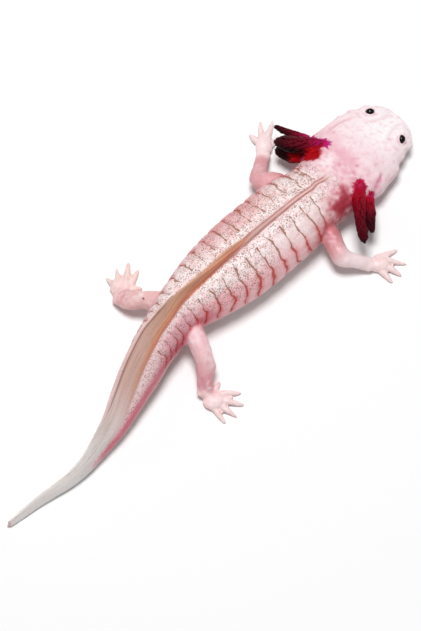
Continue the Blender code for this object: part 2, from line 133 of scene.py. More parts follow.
def make_finer(wanted):
    """Halves the edges of the skin's faces whose middles are wanted."""
    bm = bmesh.new()
    bm.from_mesh(skin_mesh)
    edges = {e for f in bm.faces if wanted(f.calc_center_median() * 1000) for e in f.edges}
    bmesh.ops.subdivide_edges(bm, edges=list(edges), cuts=1, use_grid_fill=True)
    bm.to_mesh(skin_mesh)
    bm.free()


make_finer(lambda point: eye_gap(point) < 5.0)
make_finer(lambda point: eye_gap(point) < 3.6)
make_finer(on_foot)
make_finer(lambda point: (point - MOULD_MARK).length < 3.0)


def read_out(items, field):
    """A field of three numbers, read from every item of a mesh."""
    flat = np.empty(len(items) * 3, np.float32)
    items.foreach_get(field, flat)
    return flat.reshape(-1, 3).astype(float)


def corners(mesh):
    """A mesh's points, in millimetres."""
    return read_out(mesh.vertices, "co") * 1000


def outward():
    """The skin's normals at its points."""
    return read_out(skin_mesh.vertex_normals, "vector")


def put_back():
    """Moves the mesh's points to where the skin now is."""
    skin_mesh.vertices.foreach_set("co", (skin / 1000).astype(np.float32).ravel())
    skin_mesh.update()


def edge_ends(mesh):
    """The numbers of the two points of each edge."""
    return np.array([edge.vertices[:] for edge in mesh.edges])


pairs = edge_ends(skin_mesh)
joined = np.bincount(pairs.ravel(), minlength=len(skin_mesh.vertices))


def neighbours_mean(values):
    """The mean of a value over the points that are joined to each point of the skin."""
    total = (np.bincount(pairs[:, 0], values[pairs[:, 1]], len(joined))
             + np.bincount(pairs[:, 1], values[pairs[:, 0]], len(joined)))
    return total / joined


def softened(values, rounds):
    """A value on the skin, spread a little further over it with each round."""
    for _ in range(rounds):
        values = (values + neighbours_mean(values)) / 2
    return values


skin = corners(skin_mesh)
parts_at, parts_faces, parts_names = [], [], []
for name in CAST_NODES:
    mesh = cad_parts[name].data
    parts_faces += [[len(parts_at) + i for i in face.vertices] for face in mesh.polygons]
    parts_at += [vert.co * 1000 for vert in mesh.vertices]
    parts_names += [name] * len(mesh.polygons)
nearest_part = BVHTree.FromPolygons(parts_at, parts_faces)
part_of = np.array([parts_names[nearest_part.find_nearest(point)[2]] for point in skin])


def share_of(*starts, rounds=3):
    """1 on the parts whose names start so, 0 elsewhere, with a soft border."""
    return softened(np.array([name.startswith(starts) for name in part_of], float), rounds)


def sweep_smooth(sweeps, strength, swell=-0.53):
    """Takes away facets. It shrinks and swells in turn, so that the whole keeps its size."""
    global skin
    for _ in range(sweeps):
        for swing in (0.5, swell):
            pull = np.stack([neighbours_mean(skin[:, a]) for a in range(3)], 1) - skin
            skin = skin + pull * (swing * strength[:, None])
    put_back()


def height_over_parts(points):
    """How far each point lies outside the parts of the frame. It is negative inside them."""
    heights = np.empty(len(points))
    for place, point in enumerate(points):
        found, normal, _, distance = nearest_part.find_nearest(point)
        heights[place] = math.copysign(distance, (Vector(point) - found).dot(normal))
    return heights


slender = share_of("foot_", "gill_", "tail_fin", "tail_tip")
broad = 1 - share_of("foot_", "leg_", "gill_", "tail_fin", "tail_tip", "eye_", rounds=8)
sweep_smooth(8, np.ones(len(skin)))
sweep_smooth(16, 1 - slender)
sweep_smooth(40, broad, swell=-0.505)
for spread in (6, 3):
    skin = skin - outward() * softened(height_over_parts(skin), spread)[:, None]
    put_back()

# ---- measuring the cast ----
# Markings and folds follow the body's own line, not the room's axes: every point of the skin
# knows how far along the spine it lies, how far to the left of it, and how far round the body.
TRUNK_NODES = ("head", "lower_jaw", "neck", "trunk_front", "trunk_rear", "tail_base",
               "tail_middle", "tail_tip")
MIDDLE, HALF, FLANK, TOP, BOTTOM = range(5)  # what a cross section of the body tells
SPINE_STEP = 1.0
SPINE_BLUR = 9  # cross sections that are averaged
AT_ONCE = 8000  # points that are measured at one time


def cross_section(y, start, end):
    """Middle, half width, flank height, top and bottom of the body where it is cut at y."""
    crossing = (start[:, 1] - y) * (end[:, 1] - y) < 0
    start, end = start[crossing], end[crossing]
    cut = start + (end - start) * ((y - start[:, 1]) / (end[:, 1] - start[:, 1]))[:, None]
    low, high = cut[:, 0].argmin(), cut[:, 0].argmax()
    return ((cut[low, 0] + cut[high, 0]) / 2, (cut[high, 0] - cut[low, 0]) / 2,
            (cut[low, 2] + cut[high, 2]) / 2, cut[:, 2].max(), cut[:, 2].min())


trunk_meshes = [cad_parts[name].data for name in TRUNK_NODES]
trunk_edges = np.concatenate([corners(mesh)[edge_ends(mesh)] for mesh in trunk_meshes])
edge_start, edge_end = trunk_edges[:, 0], trunk_edges[:, 1]
snout_y, tail_tip_y = edge_start[:, 1].min(), edge_start[:, 1].max()
spine_y = np.arange(snout_y + 0.5, tail_tip_y - 0.5, SPINE_STEP)
sections = np.array([cross_section(y, edge_start, edge_end) for y in spine_y])
window = np.hanning(SPINE_BLUR) / np.hanning(SPINE_BLUR).sum()
for column in sections.T:
    padded = np.pad(column, SPINE_BLUR // 2, mode="reflect", reflect_type="odd")
    column[:] = np.convolve(padded, window, mode="valid")
spine = np.stack([sections[:, MIDDLE], spine_y], 1)
heading = np.gradient(spine, axis=0)
heading /= np.linalg.norm(heading, axis=1, keepdims=True)
spine_run = np.concatenate([[0], np.cumsum(np.linalg.norm(np.diff(spine, axis=0), axis=1))])


def follow_spine(points):
    """Distance along the spine from the snout, and sideways from it to the animal's left."""
    along, side = np.empty(len(points)), np.empty(len(points))
    for first in range(0, len(points), AT_ONCE):
        some = slice(first, first + AT_ONCE)
        flat = points[some, :2]
        near = ((flat[:, None, :] - spine[None]) ** 2).sum(2).argmin(1)
        offset, ahead = flat - spine[near], heading[near]
        along[some] = spine_run[near] + (offset * ahead).sum(1)
        side[some] = offset[:, 0] * ahead[:, 1] - offset[:, 1] * ahead[:, 0]
    return along, side


def body_at(along, column):
    """A measure of the body's cross section at each distance along the spine."""
    return np.interp(along, spine_run, sections[:, column])


along, side = follow_spine(skin)
half = np.maximum(body_at(along, HALF) * np.interp(along, spine_run, heading[:, 1]), 0.8)
flank, top, bottom = [body_at(along, column) for column in (FLANK, TOP, BOTTOM)]
lift = np.where(skin[:, 2] > flank, (skin[:, 2] - flank) / (top - flank),
                (skin[:, 2] - flank) / (flank - bottom))
turn = np.degrees(np.arctan2(side / half, lift))  # 0 on the back, 90 on the left flank
around = abs(turn)
left, right = side > 0, side < 0


def ease(value):
    """0 below 0, 1 above 1, and a smooth rise between."""
    value = np.clip(value, 0, 1)
    return value * value * (3 - 2 * value)


def hill(distance, width):
    """1 at no distance, falling off smoothly over a width."""
    return np.exp(-(distance / width) ** 2)


def clouds(points, size, seed=0):
    """Soft irregular values, from -1 to 1, with patches of about one size."""
    return np.array([noise.noise(Vector(point) / size + Vector((seed, 0, 0))) for point in points])


def raise_skin(amount):
    """Moves the skin outwards by an amount in millimetres at each point."""
    global skin
    skin = skin + outward() * amount[:, None]
    put_back()


# ---- grooved trunk ----
# Costal grooves run down each flank between the ribs, cut into the casting as narrow wavering
# valleys with a low swell between them. They start beside the ridge of the back.
GROOVES = [(0, -8.1), (45.1, -1), (51.4, 0), (57.4, 1), (119.8, 11), (125.6, 12), (130.4, 13),
           (134.1, 14), (137.7, 15), (150.9, 18), (226, 36)]  # distance along, groove number
GROOVE_STARTS = [(45, 2.0), (57, 2.6), (75, 4.2), (100, 5.6), (125, 4.8), (150, 4.0)]  # from the ridge
GROOVE_ENDS = [(90, 118), (110, 106), (135, 96)]  # degrees round from the back
GROOVE_DEPTH = 0.55
GROOVE_WIDTH = 0.55
SWELL = 0.22


def keyed(keys, at):
    """A value given at some distances, and read between them."""
    return np.interp(at, [key for key, _ in keys], [value for _, value in keys])


def stretch(start, rise, end, fall):
    """1 between two distances along the spine, with soft ends inside them."""
    return ease((along - start) / rise) * ease((end - along) / fall)


gill = share_of("gill_")
limb = share_of("leg_", "foot_", rounds=4)
fin = share_of("tail_fin", "back_ridge", rounds=2)
trunk = (1 - gill) * (1 - limb) * (1 - fin)
waver = clouds(np.stack([along / 6, turn / 15, np.sign(side) * 5], 1), 1)
hook = (2.4 * ease((around - 58) / 34) * ease((along - 82) / 14)
        - ease((around - 70) / 50) * ease((88 - along) / 14))
groove_number = keyed(GROOVES, along + 1.15 * waver - hook)
steps = np.arange(0, 226)
groove_pitch = 1 / np.interp(along, steps, np.gradient(keyed(GROOVES, steps)))
groove_gap = abs(groove_number - np.round(groove_number)) * groove_pitch
grooved = (ease((abs(side) - keyed(GROOVE_STARTS, along)) / 1.6 + 0.5)
           * ease((keyed(GROOVE_ENDS, along) - around) / 16)
           * stretch(42, 8, 153, 8) * trunk)
raise_skin(grooved * (SWELL * np.sin(np.pi * groove_gap / groove_pitch)
                      - GROOVE_DEPTH * hill(groove_gap, GROOVE_WIDTH)))

# ---- ridge of the back and tail fin ----
# A low ridge runs down the middle of the back between two fine seams. It widens over the hips into
# the thin upper fin of the tail, which leans over to the left and carries long shallow rays.
RIDGE_HALF = [(45, 0.75), (75, 1.0), (115, 1.7), (135, 2.0)]
SEAM_DEPTH = 0.3
RAY_HEIGHT = 0.07

ridge = share_of("back_ridge", rounds=5) * (abs(side) < 4) * (skin[:, 2] > top)
skin[:, 2] -= ridge * (skin[:, 2] - top) * 0.75 * ease((125 - along) / 45)
put_back()
rise = np.hypot(side, skin[:, 2] - top)
upper_fin = fin * (skin[:, 2] > flank)
fin_places = np.arange(40, 232, 3.0)
fin_heights = [max([1.0, *rise[(upper_fin > 0.8) & (abs(along - place) < 3)]])
               for place in fin_places]
rise_share = np.clip(rise / np.interp(along, fin_places, fin_heights), 0, 1)
seam = abs(abs(side) - keyed(RIDGE_HALF, along))
raise_skin(-SEAM_DEPTH * hill(seam, 0.4) * stretch(44, 6, 132, 12) * (around < 30) * (1 - gill))
rays = np.sin(rise_share * 16 + 2 * clouds(skin, 14, seed=3)) * fin * ease((along - 130) / 25)
raise_skin(RAY_HEIGHT * rays)
# A long shallow furrow marks the side of the tail.
raise_skin(-0.3 * hill(around - 78, 9) * stretch(128, 14, 205, 20) * trunk)

# ---- head ----
# A broad flat head with a wide mouth under its rim. Folds run from each eye to the snout, behind
# the cheeks and across the throat, and thin lids stand round each eye.
# Folds are drawn as lines of (distance to the left, distance from the snout).
ORBIT_FOLD = [(6.9, 14.8), (4.6, 11.2), (3.4, 7.8), (2.8, 4.4), (3.9, 0.8)]
BROW_FOLD = [(12.4, 12.0), (10.6, 13.4), (8.2, 13.2)]
LEFT_CHEEK_FOLD = [(11.4, 14.8), (12.6, 18.2), (13.6, 21.6), (14.0, 25.0), (13.6, 28.8)]
RIGHT_CHEEK_FOLD = [(-14.4, 27.2), (-15.6, 29.8), (-16.9, 32.6)]
FLAP_EDGE = [(17.4, 33.8), (14.6, 37.2), (11.4, 38.6)]
MOUTH = [(0, 6.8), (3, 6.4), (9, 6.4), (14, 7.0), (18, 7.8), (20, 7.8)]  # height of the lips' line
# Cheeks and snout: to the side, along, length for width, radius and height of each mound
MOUNDS = [(8.0, 23, 1.6, 5.0, 0.45), (6.2, 4.2, 1.3, 2.4, 0.35)]
LIP_SCALLOPS = [((-11.7, -106.7), 2.2, 1.2), ((-14.4, -101.7), 3.4, 2.2)]  # place, radius, depth
NOSTRIL = (4.4, 1.9, 8.9)  # from the middle, behind the snout's tip and above the floor
FAR = 99.0

head = share_of("head", "lower_jaw", "neck", rounds=2)
facing_up = ease(outward()[:, 2] * 3 + 0.6)


def gap_to(line):
    """How far each point lies from a line in plan, and how near it is to the line's middle."""
    nearest, middling = np.full(len(skin), FAR), np.zeros(len(skin))
    here = np.stack([side, along], 1)
    for number, (start, end) in enumerate(zip(np.array(line[:-1], float), np.array(line[1:], float))):
        reach = end - start
        share = np.clip((here - start) @ reach / (reach @ reach), 0, 1)
        gap = np.linalg.norm(here - start - share[:, None] * reach, axis=1)
        middling = np.where(gap < nearest, np.sin(np.pi * (number + share) / (len(line) - 1)), middling)
        nearest = np.minimum(nearest, gap)
    return nearest, middling


def mirrored(line):
    return [(-across, ahead) for across, ahead in line]


def fold(line, width, depth):
    """Presses a crease into the skin along a drawn line, with a soft lip on both sides."""
    gap, middling = gap_to(line)
    shown = head * facing_up * np.sqrt(np.clip(middling, 0, 1))
    raise_skin(shown * depth * (0.45 * hill(gap - 2.2 * width, 1.4 * width) - hill(gap, width)))
    return hill(gap, width) * shown


def distance_from(place):
    """How far each point of the skin lies from a place."""
    return np.linalg.norm(skin - np.array(place), axis=1)


mounds = sum(height * hill(np.hypot(side - s * across, (along - ahead) / longer), radius)
             for across, ahead, longer, radius, height in MOUNDS for s in (1, -1))
middle_dip = 0.25 * hill(np.hypot(side / 0.8, (along - 9) / 1.8), 3.0)
raise_skin((mounds - middle_dip) * head * facing_up)
crease = np.zeros(len(skin))
for line in (ORBIT_FOLD, BROW_FOLD):
    crease = np.maximum(crease, 0.5 * fold(line, 0.8, 0.22) + 0.5 * fold(mirrored(line), 0.8, 0.22))
crease = np.maximum(crease, fold(LEFT_CHEEK_FOLD, 0.7, 0.5))
cheek_line = fold(RIGHT_CHEEK_FOLD, 0.65, 0.55)
crease = np.maximum(crease, cheek_line)
for line in (FLAP_EDGE, mirrored(FLAP_EDGE)):
    crease = np.maximum(crease, 0.5 * fold(line, 0.7, 0.4))
raise_skin(-0.8 * hill(along - 33 + 4 * (side / 15) ** 2, 0.9) * (1 - facing_up) * head)

lips = skin[:, 2] - keyed(MOUTH, along)
at_mouth = ease((20.5 - along) / 3) * head
# The upper lip is gently scalloped along the sides of the mouth.
scallop = 0.42 * np.sin(along * 1.05 + 0.6) * ease((along - 3) / 3)
raise_skin(at_mouth * ((0.22 + scallop) * hill(lips - 1.7, 1.0) + 0.15 * hill(lips + 1.4, 0.8)
                       - 0.6 * hill(lips, 0.5)))
# On the right the cheek draws in behind the upper lip, in two scallops.
for place, radius, depth in LIP_SCALLOPS:
    inwards = depth * hill(np.hypot(skin[:, 0] - place[0], skin[:, 1] - place[1]), radius) * head
    skin = skin + inwards[:, None] * np.array((0.9, 0.44, 0))
put_back()
for s in (1, -1):
    nostril = distance_from((body_at(1.6, MIDDLE) + s * NOSTRIL[0], snout_y + NOSTRIL[1], NOSTRIL[2]))
    raise_skin(0.2 * hill(nostril, 1.1) - 0.7 * hill(nostril, 0.5))

# Lids: inside an almond opening the skin dips under the eyeball, and round it stands a thin rim.
EYE_RADIUS = 1.9
LID_RADIUS = 2.2
UNDER_EYEBALL = 0.45  # how far the skin dips inside the opening
OPENING = (1.8, 1.15)  # half length and half height of the almond
ALMOND_POWER = 1.6  # 2 would make an oval, 1 a diamond
LID_CREASE = 1.95  # where a crease runs round the lid, in sizes of the opening
EYE_FACING = {"left": Vector((-0.15, 0.11, 1.0)).normalized(),
              "right": Vector((-0.36, 0.0, 0.92)).normalized()}
EYE_LONG = {"left": Vector((-0.71, -0.70, 0)), "right": Vector((0.71, -0.70, 0))}


def eye_axes(name):
    """Long, short and outward axis of an eye."""
    facing = EYE_FACING[name]
    long = (EYE_LONG[name] - facing * EYE_LONG[name].dot(facing)).normalized()
    return long, facing.cross(long), facing


lid_ring = np.zeros(len(skin))
for name, centre in EYES.items():
    for sweeps in (16, 2):
        offset = skin - np.array(centre)
        on_long, on_short, on_facing = [offset @ np.array(axis) for axis in eye_axes(name)]
        almond = abs(on_long / OPENING[0]) ** ALMOND_POWER + abs(on_short / OPENING[1]) ** ALMOND_POWER
        almond = almond ** (1 / ALMOND_POWER)
        radius = np.linalg.norm(offset, axis=1)
        in_front = ease(on_facing / 0.6 + 0.6)
        outside = np.maximum(radius, LID_RADIUS)
        lid = outside + (LID_RADIUS - outside) * in_front * (1 - ease((almond - 1.15) / 1.1))
        lid = lid + (EYE_RADIUS - UNDER_EYEBALL - lid) * in_front * (1 - ease((almond - 0.86) / 0.26))
        near = ease((3.9 - radius) / 1.2)
        skin = skin + offset * ((lid / radius - 1) * near)[:, None]
        sweep_smooth(sweeps, near)
    near = near * in_front
    raise_skin(-0.2 * hill(almond - LID_CREASE, 0.22) * near)
    ring = np.maximum(hill(almond - 1.12, 0.12), 0.7 * hill(almond - LID_CREASE, 0.25))
    lid_ring = np.maximum(lid_ring, near * ring)

# ---- limbs ----
# Soft rounded legs and flat hands and feet, with four fingers in front and five toes behind. The
# elbows and knees are knobbed, and the skin is loose over them.
LEGS = ("front_left", "front_right", "hind_left", "hind_right")
KNOBS = [((-19.8, 15.4, 8.5), 2.6, 0.9), ((-24.5, -49.5, 8.0), 2.8, 0.7),  # place, radius, height
         ((25.3, -53.0, 8.0), 2.8, 0.8), ((20.5, 20.0, 9.0), 2.6, 0.6),
         ((-22.5, -54.5, 11.5), 2.2, 0.35)]


def between(name, spread):
    """1 on the border between a part and its neighbours, falling off over a distance."""
    part = corners(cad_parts[name].data)
    own = share_of(name, rounds=2)
    border = skin[(own > 0.2) & (own < 0.8)]
    gaps = np.full(len(skin), FAR)
    low, high = part.min(0) - 3 * spread, part.max(0) + 3 * spread
    near = ((skin > low) & (skin < high)).all(1)
    gaps[near] = np.sqrt(((skin[near][:, None] - border[None, ::3]) ** 2).sum(2).min(1))
    return hill(gaps, spread)


body_share = 1 - share_of("leg_", "foot_", rounds=6)
wrists = sum(between("foot_" + leg, 2.4) for leg in LEGS) * limb
bends = sum(between(f"leg_{leg}_upper", 2.2) for leg in LEGS) * limb * (1 - ease(body_share * 2))
sweep_smooth(90, np.clip(wrists + 0.4 * bends, 0, 1), swell=-0.46)
knobs = sum(height * hill(distance_from(place), radius) for place, radius, height in KNOBS)
raise_skin((knobs + 0.5 * share_of("leg_front_left_upper", rounds=12)) * limb)
raise_skin(0.15 * share_of("foot_", rounds=16) + 0.3 * clouds(skin, 3.0, seed=11) * limb)
mark, mould_knob = distance_from(MOULD_MARK), distance_from(MOULD_KNOB)
raise_skin(0.5 * hill(mould_knob, 1.1) + 0.15 * hill(mark - 0.8, 0.35) - 0.6 * hill(mark, 0.5))

# ---- gill stalks ----
# Three thick stalks stand behind each side of the head. They are cast with the body as solid
# lobes whose combed surface stands for the fine filaments of the real animal.
ROOT_DEPTH = 1.5  # how much of a stalk counts as its root


def stalk_axis(name):
    """A stalk's own points, its root, and the way and distance from there to its tip."""
    points = corners(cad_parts[name].data)
    across = abs(follow_spine(points)[1])
    root, tip = points[across < across.min() + ROOT_DEPTH].mean(0), points[across.argmax()]
    length = np.linalg.norm(tip - root)
    return points, root, (tip - root) / length, length


stalk = np.zeros(len(skin))
stalk_way = np.zeros((len(skin), 3))
for name in named("gill_"):
    mine = part_of == name
    _, root, way, length = stalk_axis(name)
    stalk[mine] = np.clip((skin[mine] - root) @ way / length, 0, 1)
    stalk_way[mine] = way
combed = skin - stalk_way * ((skin * stalk_way).sum(1) * 0.72)[:, None]
comb = abs(clouds(combed, 1.1, seed=5)) + 0.5 * abs(clouds(combed, 0.6, seed=6))
raise_skin(gill * (0.3 * clouds(skin, 3.2, seed=7) - 0.5 * comb - 0.35))

skin[:, 2] = np.maximum(skin[:, 2], 0)
put_back()

# ---- paint on the skin ----
# Satin paint is sprayed over pale vinyl: rose on the flanks and limbs, cream on the back, brown on
# the base of the tail fin. Fine markings are left to the material, which reads where it is.
PALE = (250, 229, 232)
ROSE = (232, 168, 172)


def linear(tint):
    """A colour given as 0-255 on screen, as the light that it stands for."""
    part = np.asarray(tint, float) / 255
    return np.where(part <= 0.04045, part / 12.92, ((part + 0.055) / 1.055) ** 2.4)


paint = np.tile(np.array(PALE, float), (len(skin), 1))
blotch = clouds(skin, 6.0, seed=21)
fleck = clouds(skin, 1.7, seed=22)


def wash(tint, cover):
    """Sprays a colour over the skin, as thickly as the cover says."""
    global paint
    cover = np.clip(cover, 0, 1)[:, None]
    paint = paint * (1 - cover) + np.array(tint, float) * cover


def spray(place, radius):
    """A soft round patch about a place."""
    return hill(distance_from(place), radius)


def patchy(cover, blotches, flecks=0):
    """An uneven cover, broken by large blotches and small flecks."""
    return ease(cover + blotches * blotch + flecks * fleck)


# Back and flanks
body = (1 - limb) * (1 - gill)
back = body * ease((along - 38) / 14)
wash((246, 226, 224), back)
wash((255, 246, 243), back * patchy(0.5, 1.1) * (around < 75) * 0.7)
wash((236, 184, 186), back * patchy((around - 42) / 40, 0.5) * 0.62)
wash((226, 150, 154), back * patchy((around - 72) / 30, 0.4) * ease((130 - around) / 20) * 0.5)
wash((226, 158, 158), back * patchy(0.25, 0.5, 1.3) * ease((150 - along) / 30) * 0.3)
# Painted light: the right flank is painted paler, as if it were lit as brightly as the left.
wash((255, 200, 204), body * right * stretch(60, 18, 128, 16) * patchy((around - 30) / 26, 0.3) * 0.85)
wash((250, 172, 178), body * right * hill(along - 122, 28.8) * patchy((around - 28) / 30, 0.5) * 0.45)
wash((224, 149, 151), body * left * stretch(60, 20, 118, 24) * patchy((around - 16) / 30, 0.5) * 0.72)
# Painted light: the right side of the back is painted near white, as if lit more brightly.
wash((252, 226, 230), body * right * hill(along - 78, 20) * ease((66 - around) / 30) * 0.4)
wash((212, 116, 138), body * right * hill(along - 137, 13) * ease((around - 14) / 26) * 0.62)
wash((250, 240, 236), body * ease((around - 108) / 26) * 0.9)
# Neck and head
wash((247, 205, 214), body * stretch(26, 10, 56, 8) * patchy(0.55, 0.7, 0.5) * 0.65)
wash((214, 140, 158), body * hill(along - 38, 6) * patchy(0.5, 0.5, 0.8) * 0.65)
# Painted highlight: a near-white patch on the snout.
wash((255, 250, 252), head * hill(np.hypot(side, (along - 8) / 1.5), 10.5) * 0.95)
wash((240, 186, 198), head * ease((around - 58) / 30) * patchy(0.5, 0.4, 1) * 0.5)
wash((240, 196, 206), head * patchy(0.15, 0, 1.6) * 0.35)
wash((235, 178, 191), head * hill(along - 34, 9) * patchy(0.65, 0.7) * 0.7)
# Tail
wash((224, 190, 190), body * ease((along - 118) / 30) * 0.55)
wash((240, 236, 234), ease((along - 165) / 40) * 0.85)
wash((212, 160, 160), body * right * stretch(120, 20, 180, 40) * ease((around - 35) / 35) * 0.55)
# Ridge: tan rose between two darker seams
on_ridge = (around < 60) * (1 - gill) * stretch(44, 5, 135, 20)
ridge_fill = hill(side / keyed(RIDGE_HALF, along), 0.9) * on_ridge
wash((222, 160, 156), ridge_fill * 0.6)
wash((190, 152, 140), ridge_fill * ease((along - 66) / 14) * 0.6)
wash((170, 96, 88), hill(seam, 0.3) * on_ridge * 0.9)

# Flush where limbs and neck meet the body: place, radius, strength
FLUSH = [((-12.6, -66, 16), 6.0, 1.0), ((-14.4, -56, 15), 6.2, 1.15), ((-9.6, -69, 19.5), 4.8, 0.9),
         ((-10.2, -62.5, 20), 4.8, 0.9), ((14.6, -60, 13), 4.5, 0.7), ((12.2, -75, 17), 4.0, 0.55),
         ((-6.6, 6.4, 12), 5.5, 0.8), ((-8.0, 12.0, 12), 4.0, 0.5), ((11.4, 13.0, 13), 4.5, 0.55),
         ((-4.0, 0.0, 9), 4.5, 0.5)]
flush = np.max([strength * spray(place, radius) for place, radius, strength in FLUSH], axis=0)
flush = flush * (0.8 + 0.5 * blotch + 0.6 * fleck)
wash((196, 72, 88), flush * 0.88)
deep_flush = np.maximum(spray((-10.4, -68.4, 19), 4.2), spray((-10.6, -64.8, 18.6), 3.6))
wash((160, 30, 50), patchy(1.5 * deep_flush - 0.1, 0, 0.4) * 0.75)
gill_root = np.maximum(spray((15.1, -74.0, 16.4), 3.6), spray((12.8, -74.2, 18.4), 3.0))
wash((152, 5, 16), patchy(2.4 * gill_root - 0.35, 0, 0.6))
wash((206, 92, 142), cheek_line * (0.7 + fleck) * 0.7)

# Limbs: rose at the shoulder, pale at the fingers
LIMB_TINTS = [("leg_front_left_upper", (206, 130, 134), 0.72),
              ("leg_front_right_upper", (208, 136, 140), 0.75),
              ("leg_front_left_lower", (218, 148, 152), 0.85),
              ("leg_front_right_lower", (255, 236, 238), 0.85),
              ("leg_hind_left", (220, 166, 156), 0.4), ("foot_hind_left", (232, 198, 186), 0.4),
              ("leg_hind_right_lower", (204, 134, 140), 0.4)]
hand = share_of("foot_", rounds=150)
wash(ROSE, limb * patchy(0.6, 0.6, 0.4) * 0.5)
wash((250, 226, 225), ease(1.6 * hand) * 0.9)
wash((240, 190, 188), hand * patchy(0.2, 0, 1.2) * 0.35)
for name, tint, strength in LIMB_TINTS:
    off_hand = 1 - ease(1.6 * hand) * (not name.startswith("foot"))
    wash(tint, share_of(name, rounds=130) * off_hand * patchy(0.85, 0.5, 0.3) * strength)
wash((206, 108, 126), spray((-21.8, 21.5, 5.5), 4.2) * limb * patchy(0.8, 0, 1) * 0.7)
wash((214, 132, 138), spray((27.2, 19.5, 6.5), 4.0) * limb * patchy(0.8, 0, 1) * 0.65)
# Painted highlight: the knob beside the mould mark is painted near white.
wash((254, 240, 236), hill(mould_knob, 1.3) * 0.7)
wash((84, 56, 50), hill(mark, 0.42))

# A red line runs low along the right side of the tail, with a pale rim under it.
below_line = around - (72 - 8 * ease((along - 140) / 40))
red_line = np.where(right, below_line * half * math.pi / 180, FAR)
red_cover = stretch(112, 12, 203, 20) * trunk
wash((240, 186, 190), hill(red_line - 3.2, 1.2) * red_cover * 0.7)
wash((218, 78, 104), hill(red_line - 0.4, 2.1 + 0.5 * blotch) * red_cover * 0.8)

# Tail fin: grey-beige over its spread, rosy at its edge
fin_cover = fin * ease((along - 112) / 30)
wash((208, 168, 155), fin_cover * ease((185 - along) / 40 + 0.2) * 0.9)
wash((198, 150, 126), fin * stretch(92, 12, 150, 20) * (side > -1) * 0.75)
wash((222, 208, 203), fin_cover * ease((along - 160) / 30) * 0.85)
rim_cover = upper_fin * stretch(124, 14, 192, 24)
wash((234, 204, 203), rim_cover * ease((rise_share - 0.8) / 0.08) * 0.85)
off_line = 1 - ease(hill(red_line - 0.4, 2.1) * red_cover * 2)
wash((224, 219, 216), ease((along - 172) / 24) * off_line * 0.8)
wash((246, 241, 238), ease((along - 186) / 24) * 0.7)
wash((206, 150, 158), ease((along - 232) / 2) * 0.5)

# Lids, folds and mouth
wash((214, 150, 160), crease * 0.5)
wash((206, 140, 156), lid_ring * 0.35)
wash((196, 104, 112), hill(lips, 0.45) * at_mouth * 0.5)

# Gill stalks: magenta at the root, then crimson and nearly black
STALK_STOPS = (0, 0.15, 0.42, 0.66, 1)
STALK_TINTS = [(190, 22, 84), (140, 6, 34), (90, 5, 18), (52, 4, 9), (32, 4, 8)]
stalk_run = stalk + 0.08 * blotch + 0.05 * fleck
wash(np.stack([np.interp(stalk_run, STALK_STOPS, part) for part in zip(*STALK_TINTS)], 1),
     ease((gill - 0.14 + 0.22 * fleck) / 0.16))

# The brown band at the base of the tail fin. It is 1 in its middle and 0 at its edges.
BAND_MIDDLE = [(86, 0.6), (100, 0.6), (108, 0.0), (118, -0.6), (138, -1.1), (158, -1.5)]
BAND_HALF = [(86, 0.1), (94, 1.9), (104, 2.3), (120, 1.9), (144, 1.4), (162, 1.1), (180, 0.1)]
BROWN = (158, 102, 72)
LOW_INKS = {"left": (172, 80, 60), "right": (206, 68, 56)}  # of the grooves, low on the flanks
across_band = (side - keyed(BAND_MIDDLE, along)) / keyed(BAND_HALF, along)
in_band = (skin[:, 2] > flank) & (along > 86) & (along < 180)
thinly = ease((92 - along) / 14) * ease((around - 18) / 14 - 0.4 * fleck) * right
low_down = ease((around - 38) / 30)
low_ink = np.where(left[:, None], LOW_INKS["left"], LOW_INKS["right"])
MARKINGS = {
    "groove_number": groove_number,
    "grooved": grooved,
    "low_down": low_down,
    "on_tail": ease((along - 112) / 22),
    "band": np.where(in_band, (1 - abs(across_band)) * 0.5, -1),
    "band_warm": ease(0.5 - 0.7 * across_band),
    "band_fade": ease((184 - along) / 46),
    "fin_line": (rim_cover * hill(rise_share - 0.79, 0.05)
                 + fin * hill(side - 2.6, 0.8) * hill(along - 108, 22)),
    "speckled": (body * (1 - fin) * stretch(40, 10, 210, 30) * patchy((86 - around) / 32, 0.3)
                 * (1 - 0.7 * np.clip(flush, 0, 1)) * (1 - 0.75 * thinly)),
    "gill": gill,
    "fin": fin}


def keep(name, values, kind="FLOAT", field="value"):
    """Stores values for the material on the skin's points."""
    layer = skin_mesh.attributes.new(name, kind, "POINT")
    layer.data.foreach_set(field, np.ascontiguousarray(values, np.float32).ravel())


for name, values in MARKINGS.items():
    keep(name, values)
groove_ink = np.array(BROWN) * (1 - low_down)[:, None] + low_ink * low_down[:, None]
for name, tints in (("paint", paint), ("groove_ink", groove_ink)):
    keep(name, np.concatenate([linear(tints), np.ones((len(tints), 1))], 1), "FLOAT_COLOR", "color")
keep("lay", np.stack([along, side, turn / 6], 1), "FLOAT_VECTOR", "vector")


